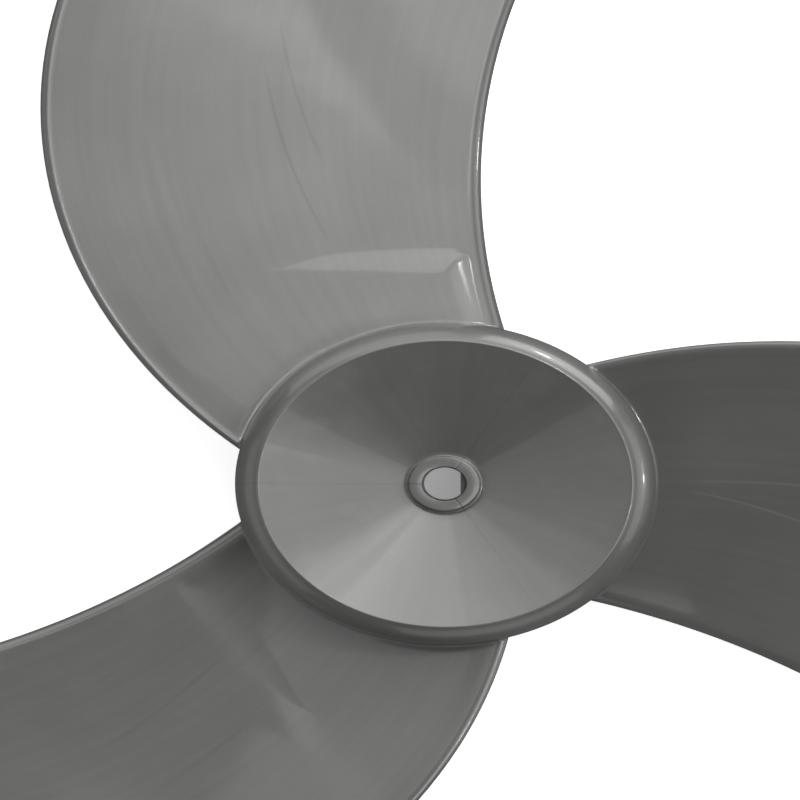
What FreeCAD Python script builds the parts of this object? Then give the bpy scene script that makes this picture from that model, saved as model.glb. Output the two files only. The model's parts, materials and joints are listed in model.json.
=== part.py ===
import FreeCAD, Part
import math
import os

# Pedestal fan blade: one plastic moulding with a dished hub and three swept, twisted blades.
# Millimetres. The fan turns about Z and its front faces +Z. The origin is on the axis of the
# bore, in the plane of the hub's rear edge, and one blade's root is centred on +X.

# Bore for a motor shaft with one flat: a round locating stretch at the rear, then a clearance
# stretch that carries the driving flat up to a round relief at the boss
bore_d = 8.1
bore_length = 6.0
clearance_d = 8.6
drive_flat = 3.1
relief_depth = 4.0

# Hub: a drum with a dished front, a boss in the dish and, around the dish, a rim that rolls over
# from the dish's edge, where it already leans outwards, to the drum's side
hub_d = 81.0
hub_depth = 31.0
boss_d = 13.8
boss_rise = 2.0
dish_depth = 10.0
rim_width = 4.5
rim_lean_deg = 20.0

# Rear of the hub
hub_wall = 2.2
tube_d = 15.0
rib_count = 6
rib_wall = 1.8
rib_setback = 12.0

# Plan of a blade: two circular edges, each given by its radius and by the directions, in degrees
# from the middle of the root, where it leaves the hub and where it meets the tip circle
blade_count = 3
tip_d = 360.0
trailing_r = 116.7
trailing_root_deg = 48.65
trailing_tip_deg = -14.2
trailing_corner_r = 26.0
leading_r = 160.2
leading_root_deg = -47.35
leading_tip_deg = -43.15
leading_corner_r = 13.0

# Twist, camber and thickness of a blade, and the rounded bead that stiffens its free edges behind
blade_height = 13.0
root_pitch_deg = 19.5
tip_pitch_deg = 9.5
camber_r = 360.0
tip_sweep = 74.0
blade_wall = 2.0
bead_width = 2.6
bead_rise = 1.6
bead_round = 1.3
section_count = 6

Z = FreeCAD.Vector(0, 0, 1)
AXIS_FOOT = FreeCAD.Vector(0, 0, 0)
FULL_TURN = 360.0
TOUCH = 1e-3

bore_r = bore_d / 2
boss_r = boss_d / 2
hub_r = hub_d / 2
dish_r = hub_r - rim_width
skirt_inner_r = hub_r - hub_wall
tube_r = tube_d / 2
tip_r = tip_d / 2
root_r = hub_r - hub_wall / 2

dish_foot_z = hub_depth - dish_depth
boss_z = dish_foot_z + boss_rise
dish_slope = dish_depth / (dish_r - boss_r)
dish_wall_z = hub_wall * math.hypot(1, dish_slope)
rim_lean = math.radians(rim_lean_deg)
rim_curve_r = rim_width / (1 - math.sin(rim_lean))
rim_side_z = hub_depth - rim_curve_r * math.cos(rim_lean)


def polar(radius, degrees):
    angle = math.radians(degrees)
    return FreeCAD.Vector(radius * math.cos(angle), radius * math.sin(angle), 0)


def line(start, end):
    return Part.makeLine(start, end)


def arc(start, middle, end):
    return Part.Arc(start, middle, end).toShape()


def edge_middle(edge):
    return edge.valueAt((edge.FirstParameter + edge.LastParameter) / 2)


def dish_under_z(radius):
    """Height of the dish's rear face at a radius."""
    return dish_foot_z + dish_slope * (radius - boss_r) - dish_wall_z


def hub_body():
    """Rim, dish, boss, skirt and bore tube, turned from one section."""
    def at(radius, z):
        return FreeCAD.Vector(radius, 0, z)

    halfway = (math.pi / 2 - rim_lean) / 2
    rim_side = at(hub_r, rim_side_z)
    rim_centre = at(hub_r - rim_curve_r, rim_side_z)
    rim_middle = rim_centre + at(math.cos(halfway), math.sin(halfway)) * rim_curve_r
    dish_edge = at(dish_r, hub_depth)
    outline = [
        rim_side,
        at(hub_r, 0),
        at(skirt_inner_r, 0),
        at(skirt_inner_r, rim_side_z),
        at(dish_r, dish_under_z(dish_r)),
        at(tube_r, dish_under_z(tube_r)),
        at(tube_r, 0),
        at(0, 0),
        at(0, boss_z),
        at(boss_r, boss_z),
        at(boss_r, dish_foot_z),
        dish_edge,
    ]
    edges = [line(a, b) for a, b in zip(outline, outline[1:])]
    edges.append(arc(dish_edge, rim_middle, rim_side))
    return Part.Face(Part.Wire(edges)).revolve(AXIS_FOOT, Z, FULL_TURN)


def rib():
    """Web from the bore tube to the skirt, under the dish."""
    inner = tube_r - hub_wall / 2
    sink = dish_wall_z / 2
    corners = [
        FreeCAD.Vector(inner, -rib_wall / 2, rib_setback),
        FreeCAD.Vector(root_r, -rib_wall / 2, rib_setback),
        FreeCAD.Vector(root_r, -rib_wall / 2, rim_side_z),
        FreeCAD.Vector(dish_r, -rib_wall / 2, dish_under_z(dish_r) + sink),
        FreeCAD.Vector(inner, -rib_wall / 2, dish_under_z(inner) + sink),
    ]
    face = Part.Face(Part.makePolygon(corners + corners[:1]))
    return face.extrude(FreeCAD.Vector(0, rib_wall, 0))


def bore_cut():
    """Stepped bore with one flat, facing +X, in its clearance stretch."""
    clearance_r = clearance_d / 2
    flat_length = boss_z - relief_depth - bore_length
    clearance = Part.makeCylinder(clearance_r, boss_z - bore_length, Z * bore_length)
    flat_corner = FreeCAD.Vector(drive_flat, -clearance_r, bore_length)
    land = Part.makeBox(clearance_r, clearance_d, flat_length, flat_corner)
    return Part.makeCylinder(bore_r, bore_length).fuse(clearance.cut(land))


def edge_centre(edge_r, root_deg, tip_deg):
    """Centre of a blade's circular edge, which lies clockwise of its chord."""
    root = polar(root_r, root_deg)
    chord = polar(tip_r, tip_deg) - root
    clockwise = chord.cross(Z).normalize()
    chord_to_centre = math.sqrt(edge_r ** 2 - (chord.Length / 2) ** 2)
    return root + chord / 2 + clockwise * chord_to_centre


def on_edge(radius, edge_r, centre):
    """Point where a circular edge crosses a radius, on the counter-clockwise side of its centre."""
    offset = centre.Length
    cosine = (radius ** 2 + offset ** 2 - edge_r ** 2) / (2 * radius * offset)
    return polar(radius, math.degrees(math.atan2(centre.y, centre.x) + math.acos(cosine)))


trailing_centre = edge_centre(trailing_r, trailing_root_deg, trailing_tip_deg)
leading_centre = edge_centre(leading_r, leading_root_deg, leading_tip_deg)


def plan_prism(inset):
    """Upright prism on the blade's plan, drawn in from the free edges by an inset."""
    def trailing(radius):
        return on_edge(radius, trailing_r - inset, trailing_centre)

    def leading(radius):
        return on_edge(radius, leading_r + inset, leading_centre)

    def across(radius):
        middle = (leading(radius) + trailing(radius)).normalize() * radius
        return leading(radius), middle, trailing(radius)

    outer_r = tip_r - inset
    middle_r = (root_r + outer_r) / 2
    face = Part.Face(Part.Wire([
        arc(leading(root_r), leading(middle_r), leading(outer_r)),
        arc(*across(outer_r)),
        arc(trailing(outer_r), trailing(middle_r), trailing(root_r)),
        arc(*reversed(across(root_r))),
    ]))
    face.translate(Z * -hub_depth)
    prism = face.extrude(Z * hub_depth * 3)
    for corner, radius in ((leading(outer_r), leading_corner_r), (trailing(outer_r), trailing_corner_r)):
        upright = [edge for edge in prism.Edges if stands_at(edge, corner)]
        prism = prism.makeFillet(radius - inset, upright)
    return prism


def stands_at(edge, corner):
    """True for an upright edge at a corner of the plan."""
    ends = [vertex.Point for vertex in edge.Vertexes]
    return all(math.hypot(end.x - corner.x, end.y - corner.y) < TOUCH for end in ends)


def sheet(below, above):
    """Twisted, cambered sheet from a depth below to a height above the blade's middle surface."""
    half_width = tip_r / 2
    start = root_r / 2
    sections = []
    for step in range(section_count):
        share = step / (section_count - 1)
        x = start + (tip_r - start) * share
        slope = math.tan(math.radians(root_pitch_deg + (tip_pitch_deg - root_pitch_deg) * share))
        spine = FreeCAD.Vector(x, -tip_sweep * share ** 2, blade_height)
        edge_rise = half_width ** 2 / (2 * camber_r)
        lift = FreeCAD.Vector(0, half_width, slope * half_width)
        middle = [spine - lift + Z * edge_rise, spine, spine + lift + Z * edge_rise]
        low = [point - Z * below for point in middle]
        high = [point + Z * above for point in middle]
        sections.append(Part.Wire([
            arc(*low),
            line(low[-1], high[-1]),
            arc(*reversed(high)),
            line(high[0], low[0]),
        ]))
    return Part.makeLoft(sections, True, False)


def outline_edges(blank):
    """Edges of a blade along its free outline, front and rear."""
    inside_bead = plan_prism(bead_width / 2)
    chosen = []
    for edge in blank.Edges:
        middle = edge_middle(edge)
        at_root = math.hypot(middle.x, middle.y) < root_r + TOUCH
        upright = edge.Length < blade_wall + bead_rise + bead_width
        if not (at_root or upright or inside_bead.isInside(middle, TOUCH, True)):
            chosen.append(edge)
    return chosen


def blade():
    """Blade on +X: a thin sheet cut to plan, with a rounded bead behind its free edges."""
    plan = plan_prism(0)
    band = plan.cut(plan_prism(bead_width))
    web = sheet(blade_wall / 2, blade_wall / 2).common(plan)
    bead = sheet(blade_wall / 2 + bead_rise, 0).common(band)
    blank = web.fuse(bead).removeSplitter()
    return blank.makeFillet(bead_round, outline_edges(blank))


def around_axis(shape, count):
    copies = []
    for step in range(count):
        turned = shape.copy()
        turned.rotate(AXIS_FOOT, Z, FULL_TURN * step / count)
        copies.append(turned)
    return copies


os.makedirs("parts", exist_ok=True)
fan = hub_body().fuse(around_axis(rib(), rib_count) + around_axis(blade(), blade_count))
fan = fan.cut(bore_cut()).removeSplitter().Solids[0]
fan.exportStep("parts/fan_blade.step")
print("solids", len(fan.Solids), "valid", fan.isValid(), "volume cm3", round(fan.Volume / 1000, 2))
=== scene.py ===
import json
import math

import bmesh
import bpy
from mathutils import Matrix, Vector

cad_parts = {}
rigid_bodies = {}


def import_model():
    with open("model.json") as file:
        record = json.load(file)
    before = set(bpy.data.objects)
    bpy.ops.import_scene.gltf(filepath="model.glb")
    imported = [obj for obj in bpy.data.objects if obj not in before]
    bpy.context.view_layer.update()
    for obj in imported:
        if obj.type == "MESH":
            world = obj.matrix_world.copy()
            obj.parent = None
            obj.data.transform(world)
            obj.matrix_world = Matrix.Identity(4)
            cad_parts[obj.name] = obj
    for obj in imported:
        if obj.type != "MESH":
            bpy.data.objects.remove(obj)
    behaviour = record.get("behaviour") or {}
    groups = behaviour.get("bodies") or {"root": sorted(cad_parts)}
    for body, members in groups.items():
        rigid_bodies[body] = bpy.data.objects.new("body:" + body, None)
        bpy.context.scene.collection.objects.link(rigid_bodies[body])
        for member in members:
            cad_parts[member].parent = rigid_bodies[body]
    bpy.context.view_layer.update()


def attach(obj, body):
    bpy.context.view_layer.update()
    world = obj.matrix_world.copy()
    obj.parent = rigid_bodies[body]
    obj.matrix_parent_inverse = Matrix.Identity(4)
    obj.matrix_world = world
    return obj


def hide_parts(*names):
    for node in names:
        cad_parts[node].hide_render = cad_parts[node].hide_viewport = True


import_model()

# Pedestal fan blade lying on its back: hub, ribs and three blades in one moulded piece.
# Lengths of the object are in millimetres and become metres when its mesh is made.
MM = 0.001

# Hub: a stepped bore with one flat that ends in a round relief, a boss in a dish, a rim that rolls
# over from the dish's edge to the drum's side, and behind the dish the bore tube and the ribs
BORE_R, BORE_TOP = 4.05, 6.0
CLEARANCE_R, DRIVE_FLAT, FLAT_TOP, FLAT_END = 4.3, 3.1, 19.0, 0.02
BOSS_R, BOSS_TOP = 6.9, 23.0
DISH_R, DISH_FOOT, DISH_WALL = 36.0, 21.0, 2.33
HUB_R, HUB_TOP, SKIRT_INNER_R = 40.5, 31.0, 38.3
DISH_SLOPE = (HUB_TOP - DISH_FOOT) / (DISH_R - BOSS_R)
RIM_LEAN = math.radians(20)
RIM_CURVE_R = (HUB_R - DISH_R) / (1 - math.sin(RIM_LEAN))
RIM_SIDE = HUB_TOP - RIM_CURVE_R * math.cos(RIM_LEAN)
TUBE_R, TUBE_TOP = 7.5, 18.9
RIB_COUNT, RIB_SETBACK, RIB_INNER_R, RIB_HALF, RIB_ROUND = 6, 12.0, 6.4, 0.9, 0.25

# Roundings of the hub's corners, and how finely it is turned
RELIEF_ROUND, BOSS_ROUND, DISH_ROUND = 0.15, 0.35, 0.5
EDGE_ROUND, SKIRT_ROUND, UNDER_ROUND = 0.4, 2.0, 1.0
HUB_TURNS, RIM_STEPS, ROUND_STEPS = 216, 16, 5

# Plan of a blade: two circular edges, each with its directions at the root and at the tip circle
BLADE_COUNT = 3
ROOT_R, TIP_R = 39.4, 180.0
TRAILING_R, TRAILING_ROOT, TRAILING_TIP, TRAILING_CORNER = 116.7, 48.65, -14.2, 26.0
LEADING_R, LEADING_ROOT, LEADING_TIP, LEADING_CORNER = 160.2, -47.35, -43.15, 13.0

# Twist and camber of a blade, and the swell where it meets the hub
BLADE_Z, ROOT_PITCH, TIP_PITCH = 13.0, 19.5, 9.5
CAMBER_R, TIP_SWEEP = 360.0, 74.0
ROOT_FLARE = 0.6

# Shallow hollow at a blade's root: it dips from a straight line and from a gap inside the free
# edges, and its border softens away from the leading edge
HOLLOW_REACH, HOLLOW_DIRECTION = 58.6, math.radians(-26.7)
HOLLOW_GAP, HOLLOW_DEPTH, HOLLOW_SLOPE, HOLLOW_CORNER = 3.2, 0.5, 7.5, 3.0
HOLLOW_SOFT, HOLLOW_FADE, HOLLOW_SOFTEST = 0.4, 0.12, 3.0

# Free edge of a blade: the front rolls down to the outline, and a bead thickens the rear
HALF_WALL, ROLL_WIDTH, ROLL_DROP, ROLL_STEPS = 1.0, 2.4, 1.7, 12
BEAD_WIDTH, BEAD_DEPTH, BEAD_ROUND = 2.6, 2.6, 1.3
BEAD_FOOT_ROUND, BEAD_INNER_ROUND = 0.3, 0.4

# Rows of vertices along the free edges, inside the roll: closest at the hollow's border
FLAT_INSETS = (3.0, 3.2, 3.4, 3.6, 3.8, 4.0, 4.2, 4.5, 5.0, 5.6, 6.2)

# Rows of vertices across a blade, as shares of its long edges: closest at the root's swell and at
# the hollow's border
SWELL_ROWS = [0, 0.007, 0.009, 0.011, 0.013, 0.0155, 0.019]
SWELL_END, BORDER_START, BORDER_END = 0.024, 0.105, 0.175
ROOT_STEPS, BORDER_STEPS, OUTER_STEPS = 5, 40, 36
CORNER_STEPS = 9
ACROSS = 52

# Edges that turn by more than this stay sharp
SHARP_TURN = math.radians(40)


def polar(radius, angle):
    return Vector((radius * math.cos(angle), radius * math.sin(angle)))


def heading(point):
    return math.atan2(point.y, point.x)


def spread(first, last, count):
    """Even steps from first towards last, without the last."""
    return [first + (last - first) * k / count for k in range(count)]


LONG = SWELL_ROWS + spread(SWELL_END, BORDER_START, ROOT_STEPS)
LONG += spread(BORDER_START, BORDER_END, BORDER_STEPS)
LONG += spread(BORDER_END, 1, OUTER_STEPS) + [1]
CORNER = spread(0, 1, CORNER_STEPS)[1:] + [1]


def join(mesh, one, two, closed=False):
    """Row of faces between two lines of vertices."""
    count = len(one) if closed else len(one) - 1
    for i in range(count):
        j = (i + 1) % len(one)
        mesh.faces.new((one[i], one[j], two[j], two[i]))


def rounded(corners):
    """Closed line through (radius, height, rounding) corners."""
    line = []
    for i, (x, z, radius) in enumerate(corners):
        here = Vector((x, z))
        if not radius:
            line.append(here)
            continue
        back = (Vector(corners[i - 1][:2]) - here).normalized()
        ahead = (Vector(corners[(i + 1) % len(corners)][:2]) - here).normalized()
        half = back.angle(ahead) / 2
        centre = here + (back + ahead).normalized() * radius / math.sin(half)
        first = heading(here + back * radius / math.tan(half) - centre)
        last = heading(here + ahead * radius / math.tan(half) - centre)
        turn = math.remainder(last - first, math.tau)
        line += [centre + polar(radius, first + turn * k / ROUND_STEPS) for k in range(ROUND_STEPS + 1)]
    return line


def hub_section():
    """Section of rim, dish, boss, bore, skirt and bore tube."""
    roll = Vector((HUB_R - RIM_CURVE_R, RIM_SIDE))
    quarter = math.pi / 2 - RIM_LEAN
    rim = [roll + polar(RIM_CURVE_R, quarter * (1 - k / RIM_STEPS)) for k in range(1, RIM_STEPS + 1)]
    return rounded([
        (CLEARANCE_R, BOSS_TOP, RELIEF_ROUND),
        (BOSS_R, BOSS_TOP, BOSS_ROUND),
        (BOSS_R, DISH_FOOT, EDGE_ROUND),
        (DISH_R, HUB_TOP, DISH_ROUND),
        *[(*point, 0) for point in rim],
        (HUB_R, 0.0, EDGE_ROUND),
        (SKIRT_INNER_R, 0.0, EDGE_ROUND),
        (SKIRT_INNER_R, RIM_SIDE, SKIRT_ROUND),
        (DISH_R, HUB_TOP - DISH_WALL, UNDER_ROUND),
        (TUBE_R, TUBE_TOP, UNDER_ROUND),
        (TUBE_R, 0.0, EDGE_ROUND),
        (BORE_R, 0.0, EDGE_ROUND),
        (BORE_R, BORE_TOP, 0),
        (CLEARANCE_R, BORE_TOP, 0),
        (CLEARANCE_R, FLAT_TOP, 0),
        (CLEARANCE_R, FLAT_TOP + FLAT_END, 0),
    ])


def on_flat(radius, z):
    """True for the stretch of the bore's wall that has the flat."""
    slack = FLAT_END / 2
    return BORE_R + slack < radius < BOSS_R and BORE_TOP - slack < z < FLAT_TOP + slack


def add_hub(mesh):
    """Hub turned from its section, with the bore's flat towards +X."""
    section = hub_section()
    rings = []
    for angle in spread(0, math.tau, HUB_TURNS):
        ring = []
        for radius, z in section:
            if on_flat(radius, z) and math.cos(angle) > 0:
                radius = min(radius, DRIVE_FLAT / math.cos(angle))
            ring.append(mesh.verts.new((*polar(radius, angle), z)))
        rings.append(ring)
    for ring, after in zip(rings, rings[1:] + rings[:1]):
        join(mesh, ring, after, closed=True)


def dish_middle(radius):
    """Height at a radius halfway through the dish's wall."""
    return HUB_TOP - DISH_WALL / 2 - DISH_SLOPE * (DISH_R - radius)


def add_ribs(mesh):
    """Webs from the bore tube to the skirt, under the dish."""
    flat = RIB_HALF - RIB_ROUND
    for angle in spread(0, math.tau, RIB_COUNT):
        turn = Matrix.Rotation(angle, 3, "Z")
        rows = []
        for y, low in ((-RIB_HALF, RIB_ROUND), (-flat, 0), (flat, 0), (RIB_HALF, RIB_ROUND)):
            foot = RIB_SETBACK + low
            corners = [
                (RIB_INNER_R, foot),
                (ROOT_R, foot),
                (ROOT_R, RIM_SIDE),
                (DISH_R, dish_middle(DISH_R)),
                (RIB_INNER_R, dish_middle(RIB_INNER_R)),
            ]
            rows.append([mesh.verts.new(turn @ Vector((x, y, z))) for x, z in corners])
        for one, two in zip(rows, rows[1:]):
            join(mesh, one, two, closed=True)
        mesh.faces.new(rows[0])
        mesh.faces.new(rows[-1])


def edge_centre(edge_r, root_deg, tip_deg):
    """Centre of a blade's circular edge, which lies clockwise of its chord."""
    root = polar(ROOT_R, math.radians(root_deg))
    chord = polar(TIP_R, math.radians(tip_deg)) - root
    clockwise = Vector((chord.y, -chord.x)).normalized()
    return root + chord / 2 + clockwise * math.sqrt(edge_r ** 2 - chord.length_squared / 4)


def crossing(radius, edge_r, centre):
    """Point at one radius from the axis and another from the centre, counter-clockwise of the centre."""
    cosine = (radius ** 2 + centre.length_squared - edge_r ** 2) / (2 * radius * centre.length)
    return polar(radius, heading(centre) + math.acos(cosine))


AXIS = Vector((0, 0))
LEADING_CENTRE = edge_centre(LEADING_R, LEADING_ROOT, LEADING_TIP)
TRAILING_CENTRE = edge_centre(TRAILING_R, TRAILING_ROOT, TRAILING_TIP)
LEADING_TURN = crossing(TIP_R - LEADING_CORNER, LEADING_R + LEADING_CORNER, LEADING_CENTRE)
TRAILING_TURN = crossing(TIP_R - TRAILING_CORNER, TRAILING_R - TRAILING_CORNER, TRAILING_CENTRE)


def swept(centre, radius, first, last, shares):
    """Points of an arc between two directions, the short way round."""
    start = heading(first)
    turn = math.remainder(heading(last) - start, math.tau)
    return [centre + polar(radius, start + turn * share) for share in shares]


def leading_side(inset):
    """Leading edge and tip corner, drawn in from the outline by an inset."""
    edge_r = LEADING_R + inset
    root = crossing(ROOT_R, edge_r, LEADING_CENTRE) - LEADING_CENTRE
    away = LEADING_TURN - LEADING_CENTRE
    side = swept(LEADING_CENTRE, edge_r, root, away, LONG)
    return side + swept(LEADING_TURN, LEADING_CORNER - inset, -away, LEADING_TURN, CORNER)


def trailing_side(inset):
    """Trailing edge and tip corner, drawn in from the outline by an inset."""
    edge_r = TRAILING_R - inset
    root = crossing(ROOT_R, edge_r, TRAILING_CENTRE) - TRAILING_CENTRE
    away = TRAILING_TURN - TRAILING_CENTRE
    side = swept(TRAILING_CENTRE, edge_r, root, away, LONG)
    return side + swept(TRAILING_TURN, TRAILING_CORNER - inset, away, TRAILING_TURN, CORNER)


def surface_z(x, y):
    """Height of the blade's middle surface over a point of its plan.

    The section at each x is a circle, s * s + h * h + d * s + e * h = 0, through the blade's spine
    and one point to each side. s goes across from the spine and h up from it.
    """
    half = TIP_R / 2
    start = ROOT_R / 2
    share = (x - start) / (TIP_R - start)
    slope = math.tan(math.radians(ROOT_PITCH + (TIP_PITCH - ROOT_PITCH) * share))
    s = y + TIP_SWEEP * share ** 2
    rise = half ** 2 / (2 * CAMBER_R)
    e = -(half ** 2 * (1 + slope ** 2) + rise ** 2) / rise
    d = -slope * (2 * rise + e)
    return BLADE_Z - (e + math.sqrt(e ** 2 - 4 * (s ** 2 + d * s))) / 2


def hollow(point):
    """Dip of a blade's front at a point of the plan, from a border with a rounded corner."""
    ahead = HOLLOW_REACH - point.dot(polar(1, HOLLOW_DIRECTION))
    leading_gap = (point - LEADING_CENTRE).length - LEADING_R - HOLLOW_GAP
    trailing_gap = TRAILING_R - (point - TRAILING_CENTRE).length - HOLLOW_GAP
    aside = min(leading_gap, trailing_gap)
    inside = min(ahead, aside)
    if max(ahead, aside) < HOLLOW_CORNER:
        inside = HOLLOW_CORNER - math.hypot(HOLLOW_CORNER - ahead, HOLLOW_CORNER - aside)
    soft = min(HOLLOW_SOFT + HOLLOW_FADE * max(leading_gap, 0.0), HOLLOW_SOFTEST)
    eased = (inside + math.hypot(inside, soft)) / 2
    share = min(eased / HOLLOW_SLOPE, 1.0)
    return HOLLOW_DEPTH * share * (2 - share)


def flow(point):
    """Way of the plastic's flow over a blade: radius, and share of the width from the leading edge."""
    radius = min(point.length, TIP_R)
    first = heading(crossing(radius, LEADING_R, LEADING_CENTRE))
    last = heading(crossing(radius, TRAILING_R, TRAILING_CENTRE))
    width = math.remainder(last - first, math.tau)
    return radius, math.remainder(heading(point) - first, math.tau) / width


def blade_vert(mesh, number, point, height):
    """Vertex over a point of a numbered blade's plan, swelling towards the hub at the root."""
    gap = min(max(point.length - HUB_R, 0.0), ROOT_FLARE)
    flare = ROOT_FLARE - math.sqrt(ROOT_FLARE ** 2 - (ROOT_FLARE - gap) ** 2)
    front = min(max(height / HALF_WALL, 0.0), 1.0)
    height += math.copysign(flare, height) * min(1.0, abs(height)) - hollow(point) * front
    turn = Matrix.Rotation(math.tau * (number - 1) / BLADE_COUNT, 3, "Z")
    vert = mesh.verts.new(turn @ Vector((*point, surface_z(*point) + height)))
    vert[mesh.verts.layers.float_vector["flow"]] = (*flow(point), number)
    return vert


def lengths(line):
    """Share of a line's length at each of its points."""
    so_far = [0.0]
    for a, b in zip(line, line[1:]):
        so_far.append(so_far[-1] + (b - a).length)
    return [value / so_far[-1] for value in so_far]


def add_face_grid(mesh, number, border, inset, height):
    """Front or back of a blade inside its bead, spread between the four sides of the border."""
    one, two = leading_side(inset), trailing_side(inset)
    last = len(one) - 1
    widths = spread(0, 1, ACROSS) + [1]
    root = swept(AXIS, ROOT_R, one[0], two[0], widths)
    tip = swept(AXIS, TIP_R - inset, one[-1], two[-1], widths)
    shares = [(a + b) / 2 for a, b in zip(lengths(one), lengths(two))]
    grid = []
    for i, u in enumerate(shares):
        row = []
        for j, v in enumerate(widths):
            if j == 0:
                row.append(border[i])
            elif j == ACROSS:
                row.append(border[-1 - i])
            elif i == last:
                row.append(border[i + j])
            else:
                point = one[i] * (1 - v) + two[i] * v + root[j] * (1 - u) + tip[j] * u
                point -= (one[0] * (1 - v) + two[0] * v) * (1 - u)
                point -= (one[-1] * (1 - v) + two[-1] * v) * u
                row.append(blade_vert(mesh, number, point, height))
        grid.append(row)
    for row, after in zip(grid, grid[1:]):
        join(mesh, row, after)


def edge_section():
    """Section of a free edge from rear to front: inset from the outline, height over the middle surface."""
    roll_foot = HALF_WALL - ROLL_DROP
    rear = rounded([
        (FLAT_INSETS[-1], -HALF_WALL, 0),
        (BEAD_WIDTH, -HALF_WALL, BEAD_FOOT_ROUND),
        (BEAD_WIDTH, -BEAD_DEPTH, BEAD_INNER_ROUND),
        (0.0, -BEAD_DEPTH, BEAD_ROUND),
        (0.0, roll_foot, 0),
    ])
    quarter = [math.pi / 2 * k / ROLL_STEPS for k in range(1, ROLL_STEPS + 1)]
    roll = [(ROLL_WIDTH * (1 - math.cos(a)), roll_foot + ROLL_DROP * math.sin(a)) for a in quarter]
    return [tuple(point) for point in rear] + roll + [(inset, HALF_WALL) for inset in FLAT_INSETS]


def add_blade(mesh, number):
    """One blade: rolled and beaded free edges, and its front and back."""
    section = edge_section()
    rings = []
    for inset, height in section:
        one, two = leading_side(inset), trailing_side(inset)
        tip = swept(AXIS, TIP_R - inset, one[-1], two[-1], spread(0, 1, ACROSS)[1:])
        rings.append([blade_vert(mesh, number, point, height) for point in one + tip + two[::-1]])
    for one, two in zip(rings, rings[1:]):
        join(mesh, one, two)
    for ring, (inset, height) in ((rings[0], section[0]), (rings[-1], section[-1])):
        add_face_grid(mesh, number, ring, inset, height)


def fan_mesh():
    mesh = bmesh.new()
    mesh.verts.layers.float_vector.new("flow")
    add_hub(mesh)
    add_ribs(mesh)
    for number in range(1, BLADE_COUNT + 1):
        add_blade(mesh, number)
    bmesh.ops.holes_fill(mesh, edges=[edge for edge in mesh.edges if edge.is_boundary])
    bmesh.ops.recalc_face_normals(mesh, faces=mesh.faces)
    bmesh.ops.scale(mesh, vec=(MM, MM, MM), verts=mesh.verts)
    for edge in mesh.edges:
        edge.smooth = edge.calc_face_angle(0) < SHARP_TURN
    for face in mesh.faces:
        face.smooth = True
    data = bpy.data.meshes.new("fan_blade_moulding")
    mesh.to_mesh(data)
    mesh.free()
    return data


def link(name, data):
    """New object in the scene."""
    thing = bpy.data.objects.new(name, data)
    bpy.context.scene.collection.objects.link(thing)
    return thing


fan = link("fan_blade_moulding", fan_mesh())
fan.modifiers.new("even_normals", "WEIGHTED_NORMAL").keep_sharp = True
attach(fan, "root")
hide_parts("fan_blade")


class Shading:
    """New material, with short calls that add nodes to it and give their outputs."""

    def __init__(self, name):
        self.material = bpy.data.materials.new(name)
        self.material.use_nodes = True
        self.tree = self.material.node_tree
        self.inputs = self.tree.nodes["Principled BSDF"].inputs

    def node(self, kind, *values, out=0, **settings):
        """Node whose inputs are joined to other outputs or set to plain values."""
        made = self.tree.nodes.new(kind)
        for name, value in settings.items():
            setattr(made, name, value)
        for socket, value in zip(made.inputs, values):
            if isinstance(value, bpy.types.NodeSocket):
                self.tree.links.new(value, socket)
            elif value is not None:
                socket.default_value = value
        return made.outputs[out]

    def sums(self, operation, *values):
        return self.node("ShaderNodeMath", *values, operation=operation)

    def times(self, one, two):
        return self.sums("MULTIPLY", one, two)

    def less(self, one, two):
        return self.sums("SUBTRACT", one, two)

    def vector(self, operation, *values, out=0):
        return self.node("ShaderNodeVectorMath", *values, out=out, operation=operation)

    def parts(self, vector):
        """Three outputs, one for each part of a vector."""
        return self.node("ShaderNodeSeparateXYZ", vector).node.outputs

    def ease(self, value, low, high, first, last):
        """Leads smoothly from first to last while the value goes from low to high."""
        smooth = "SMOOTHSTEP"
        return self.node("ShaderNodeMapRange", value, low, high, first, last, interpolation_type=smooth)

    def noise(self, place, scale, detail):
        """Noise about zero."""
        return self.less(self.node("ShaderNodeTexNoise", place, None, scale, detail), 0.5)

    def mixed(self, *terms):
        """Sum of outputs, each with its weight."""
        total = 0.0
        for value, weight in terms:
            total = self.sums("MULTIPLY_ADD", value, weight, total)
        return total


# Grey plastic: three tones of the colour ramp, and noise as scale per millimetre and detail
DARK, MIDDLE, PALE, BLUE_SHARE = 0.04, 0.145, 0.26, 0.975
MIDDLE_STOP, USUAL_SHADE, USUAL_ROUGH = 0.25, 0.6, 0.34
MOTTLE, GRAIN, WAVES, SCUFFS = (0.035, 4.0), (1.4, 2.0), (0.09, 1.0), (0.11, 5.0)

# Flow lines: stretch over a blade's radius, width and number, and over the dish's turn and radius
BLADE_FLOW, BLADE_FLOW_DETAIL = (0.012, 42.0, 9.0), 3.0
DISH_TURN, DISH_ALONG, DISH_FLOW_DETAIL, DISH_FADE = 15.0, 0.05, 4.0, 1.5

# Scuffs on the dish: where the noise begins to show and where it is full
SCUFF_START, SCUFF_FULL = 0.06, 0.2

# Weld lines where the flows met, halfway between the blades' roots: how far from the middle of a line
# it is full and where it ends, its strength on the dish beside that on the boss, and the fade between
WELD_TURN = math.tau / BLADE_COUNT / 2
WELD_FULL, WELD_END, WELD_ON_DISH, WELD_FADE = 0.05, 0.28, 0.3, 1.0

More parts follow.
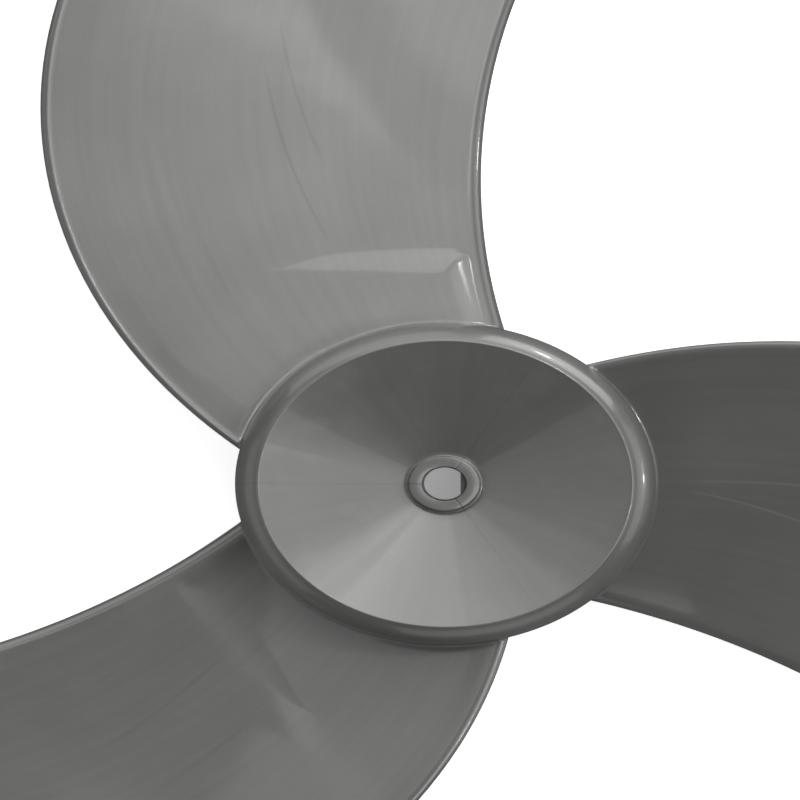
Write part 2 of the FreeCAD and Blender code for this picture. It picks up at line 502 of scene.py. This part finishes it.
# Streaks on the blades: blade, share of its width at both ends, radius at both ends, half width, tone
STREAKS = (
    (2, 0.380, 0.481, 64, 113, 0.006, -0.20),
    (2, 0.346, 0.464, 82, 123, 0.006, -0.16),
    (2, 0.700, 0.760, 70, 120, 0.020, 0.06),
    (1, 0.502, 0.540, 46, 76, 0.006, 0.40),
    (1, 0.472, 0.401, 46, 76, 0.006, 0.40),
    (3, 0.310, 0.370, 58, 96, 0.010, -0.12),
    (3, 0.505, 0.540, 68, 100, 0.012, -0.10),
)
STREAK_FADE = 6.0


def blade_marks(paint):
    """Flow lines and streaks on the blades."""
    way_of_flow = paint.node("ShaderNodeAttribute", out="Vector", attribute_name="flow")
    along, share, number = paint.parts(way_of_flow)
    on_blade = paint.ease(number, 0.0, 1.0, 0.0, 1.0)
    stretched = paint.vector("MULTIPLY", way_of_flow, BLADE_FLOW)
    flow_lines = paint.times(paint.noise(stretched, 1.0, BLADE_FLOW_DETAIL), on_blade)
    streaks = 0.0
    for blade, first, last, start, end, half, tone in STREAKS:
        way = paint.node("ShaderNodeMapRange", along, start, end, 0.0, 1.0)
        middle = paint.sums("MULTIPLY_ADD", way, last - first, first)
        off = paint.sums("ABSOLUTE", paint.less(share, middle))
        here = paint.sums("COMPARE", number, blade, 0.5)
        line = paint.times(paint.ease(off, 0.0, half, tone, 0.0), here)
        ends = paint.times(paint.less(1.0, way), way)
        faded = paint.sums("MINIMUM", paint.times(ends, STREAK_FADE), 1.0)
        streaks = paint.sums("MULTIPLY_ADD", line, faded, streaks)
    return flow_lines, streaks


def hub_marks(paint, place):
    """Flow lines and scuffs on the dish, and weld lines on the hub."""
    x, y = paint.parts(place)[:2]
    radius = paint.sums("SQRT", paint.sums("ADD", paint.times(x, x), paint.times(y, y)))
    on_dish = paint.ease(radius, DISH_R - DISH_FADE, DISH_R, 1.0, 0.0)
    way = paint.vector("NORMALIZE", paint.vector("MULTIPLY", place, (1, 1, 0)))
    turned = paint.parts(paint.vector("MULTIPLY", way, (DISH_TURN, DISH_TURN, 1.0)))
    rays = paint.node("ShaderNodeCombineXYZ", *turned[:2], paint.times(radius, DISH_ALONG))
    dish_lines = paint.times(paint.noise(rays, 1.0, DISH_FLOW_DETAIL), on_dish)
    scuffed = paint.ease(paint.noise(place, *SCUFFS), SCUFF_START, SCUFF_FULL, 0.0, 1.0)
    scuffs = paint.times(scuffed, on_dish)
    turn = paint.less(paint.sums("ARCTAN2", y, x), WELD_TURN)
    off = paint.times(radius, paint.sums("PINGPONG", turn, WELD_TURN))
    on_hub = paint.ease(radius, HUB_R, HUB_R + WELD_FADE, 1.0, 0.0)
    weld = paint.times(paint.ease(off, WELD_FULL, WELD_END, 1.0, 0.0), on_hub)
    weld = paint.times(weld, paint.ease(radius, BOSS_R, BOSS_R + WELD_FADE, 1.0, WELD_ON_DISH))
    return dish_lines, scuffs, weld


def moulded_plastic():
    """Glossy grey plastic with its mottling, marks, fine grain and slight waviness."""
    paint = Shading("grey_plastic_moulded")
    paint.inputs["Metallic"].default_value = 0.4
    paint.inputs["Coat Weight"].default_value = 0.9
    paint.inputs["Coat Roughness"].default_value = 0.06

    place = paint.vector("SCALE", paint.node("ShaderNodeTexCoord", out="Object"))
    place.node.inputs["Scale"].default_value = 1 / MM
    flow_lines, streaks = blade_marks(paint)
    dish_lines, scuffs, weld = hub_marks(paint, place)
    mottle = paint.noise(place, *MOTTLE)
    grain = paint.noise(place, *GRAIN)
    waves = paint.noise(place, *WAVES)

    shade = paint.mixed(
        (mottle, 0.45),
        (flow_lines, 0.25),
        (dish_lines, 0.22),
        (grain, 0.08),
        (streaks, 1.0),
        (scuffs, 0.09),
        (weld, -0.38),
    )
    tone = paint.node("ShaderNodeValToRGB", paint.sums("ADD", shade, USUAL_SHADE))
    stops = tone.node.color_ramp.elements
    stops.new(MIDDLE_STOP)
    for stop, grey in zip(stops, (DARK, MIDDLE, PALE)):
        stop.color = (grey, grey, grey * BLUE_SHARE, 1)
    paint.tree.links.new(tone, paint.inputs["Base Color"])

    rough = paint.mixed(
        (mottle, 0.12),
        (flow_lines, 0.08),
        (dish_lines, 0.1),
        (grain, 0.08),
        (scuffs, 0.05),
    )
    paint.tree.links.new(paint.sums("ADD", rough, USUAL_ROUGH), paint.inputs["Roughness"])

    # Height of the surface in millimetres
    relief = paint.mixed(
        (waves, 0.03),
        (grain, 0.0016),
        (flow_lines, 0.0025),
        (dish_lines, 0.004),
        (streaks, 0.01),
        (weld, -0.012),
    )
    bump = paint.node("ShaderNodeBump", 1.0, MM)
    paint.tree.links.new(relief, bump.node.inputs["Height"])
    paint.tree.links.new(bump, paint.inputs["Normal"])
    paint.tree.links.new(bump, paint.inputs["Coat Normal"])
    return paint.material


fan.data.materials.append(moulded_plastic())

# Pale floor that glows evenly, with painted shade under the hub: its glow is dimmer there, where it shows
# through the bore
FLOOR_HALF = 40
FLOOR_GLOW, GLOW_IN_PAINTED_HUB_SHADE = 0.8, 0.28


def floor_paint():
    paint = Shading("floor_white_with_painted_shade")
    paint.inputs["Base Color"].default_value = (0.9, 0.9, 0.9, 1)
    paint.inputs["Roughness"].default_value = 0.9
    paint.inputs["Emission Color"].default_value = (1, 1, 1, 1)
    from_axis = paint.vector("LENGTH", paint.node("ShaderNodeTexCoord", out="Object"), out="Value")
    # Painted shade: the glow fades from the bore tube's radius in to the hub's, so the floor is darker
    # under the hub
    glow_with_painted_shade = paint.ease(from_axis, TUBE_R * MM, HUB_R * MM, GLOW_IN_PAINTED_HUB_SHADE, FLOOR_GLOW)
    paint.tree.links.new(glow_with_painted_shade, paint.inputs["Emission Strength"])
    return paint.material


def floor_mesh():
    ground = bmesh.new()
    bmesh.ops.create_grid(ground, x_segments=1, y_segments=1, size=FLOOR_HALF)
    data = bpy.data.meshes.new("floor")
    ground.to_mesh(data)
    ground.free()
    return data


floor = link("floor", floor_mesh())
floor.data.materials.append(floor_paint())
floor.visible_glossy = False

# Ceiling panels, each a little over the one before: place and size as shares of their height, radiance
CEILING, APART = 1.5, 0.004
CEILING_PANELS = (
    ("lamp_key", 0.32, 0.44, 0.12, 0.12, 28.0),
    ("key", 0.22, 0.50, 0.36, 1.00, 1.1),
    ("key_wide", 0.24, 0.65, 0.68, 0.80, 0.6),
    ("front", 0.25, -0.16, 0.42, 0.30, 2.0),
    ("right", 0.77, 0.06, 0.60, 0.90, 0.66),
    ("right_low", 0.585, -0.05, 0.23, 0.32, 1.6),
    ("far_right", 0.635, 0.76, 0.33, 0.50, 0.8),
    ("back", -0.235, 0.80, 0.55, 0.62, 1.3),
    ("far", -0.25, 1.40, 1.50, 0.58, 1.0),
    ("left", -0.955, 0.56, 0.89, 0.46, 0.3),
    ("left_low", -0.76, 0.18, 0.50, 1.22, 0.44),
    ("spark_top", 0.538, -0.10, 0.025, 0.03, 45.0),
    ("spark_corner", 0.43, -0.09, 0.04, 0.04, 40.0),
    ("spark_side", 0.305, 0.115, 0.025, 0.05, 30.0),
)

# Panels and two lamps around the fan: azimuth, elevation, width, height, radiance
AROUND = 1.7
SIDE_PANELS = (
    ("side_right", 0, 17, 1.4, 0.95, 0.9),
    ("side_far_right", 55, 17, 1.4, 0.95, 2.5),
    ("side_far_left", 115, 17, 1.7, 0.95, 1.0),
    ("side_left", 195, 17, 2.0, 0.95, 0.35),
    ("side_near", 285, 17, 1.8, 0.95, 0.45),
    ("lamp_far", 60, 20, 0.14, 0.14, 25.0),
    ("lamp_right", 2, 8, 0.08, 0.16, 25.0),
)
WORLD_LIGHT = 0.06


def softbox(name, place, facing, size, radiance):
    """Rectangular lamp of even radiance."""
    lamp = bpy.data.lights.new(name, "AREA")
    lamp.shape = "RECTANGLE"
    lamp.size, lamp.size_y = size
    lamp.energy = radiance * math.pi * lamp.size * lamp.size_y
    light = link(name, lamp)
    light.location = place
    light.rotation_euler = facing.to_track_quat("-Z", "Y").to_euler()
    light.visible_camera = False


def toward(azimuth, elevation):
    level = math.cos(math.radians(elevation))
    return Vector((*polar(level, math.radians(azimuth)), math.sin(math.radians(elevation))))


def studio_light():
    for step, (name, right, ahead, wide, deep, radiance) in enumerate(CEILING_PANELS):
        up = CEILING + APART * step
        place = Vector((right, ahead, 1)) * up
        softbox(name, place, Vector((0, 0, -1)), (wide * up, deep * up), radiance)
    for name, azimuth, elevation, wide, high, radiance in SIDE_PANELS:
        way = toward(azimuth, elevation)
        softbox(name, way * AROUND, -way, (wide, high), radiance)
    world = bpy.data.worlds.new("studio")
    world.use_nodes = True
    background = world.node_tree.nodes["Background"]
    background.inputs["Color"].default_value = (1, 1, 1, 1)
    background.inputs["Strength"].default_value = WORLD_LIGHT
    bpy.context.scene.world = world


studio_light()

# Camera straight over the fan. The picture is narrower upright than across, so the camera's own
# axes lean: its upright scale, in pixels per millimetre, is SQUEEZE of the level one.
PICTURE = 800
UPRIGHT_SCALE, SQUEEZE = 3.97, 0.7592
AXIS_ACROSS, AXIS_DOWN = 444.3, 483.8
RIM_PLANE = 0.030
HALF_ANGLE = math.radians(1.0)
STRETCH = 10.0
SENSOR = 36
FAR_END = 100


def leaning_camera():
    frame_height = PICTURE / UPRIGHT_SCALE * MM
    lean = math.atan(math.sqrt(1 / SQUEEZE ** 2 - 1) / STRETCH)
    reach = frame_height / 2 / math.tan(HALF_ANGLE)
    run = reach / math.hypot(math.sin(lean), STRETCH * math.cos(lean))
    aim_x = (0.5 - AXIS_ACROSS / PICTURE) * frame_height * SQUEEZE
    aim_y = (AXIS_DOWN / PICTURE - 0.5) * frame_height
    camera = link("camera", bpy.data.cameras.new("camera"))
    camera.data.sensor_width = SENSOR
    camera.data.lens = SENSOR / 2 / math.tan(HALF_ANGLE)
    camera.data.clip_end = FAR_END
    camera.parent = link("camera_hanger", None)
    camera.parent.scale = (1, 1, STRETCH)
    camera.rotation_euler = (0, lean, 0)
    camera.location = (
        aim_x + run * math.sin(lean),
        aim_y,
        RIM_PLANE / STRETCH + run * math.cos(lean),
    )
    return camera


bpy.context.scene.camera = leaning_camera()
bpy.context.scene.view_settings.view_transform = "Standard"
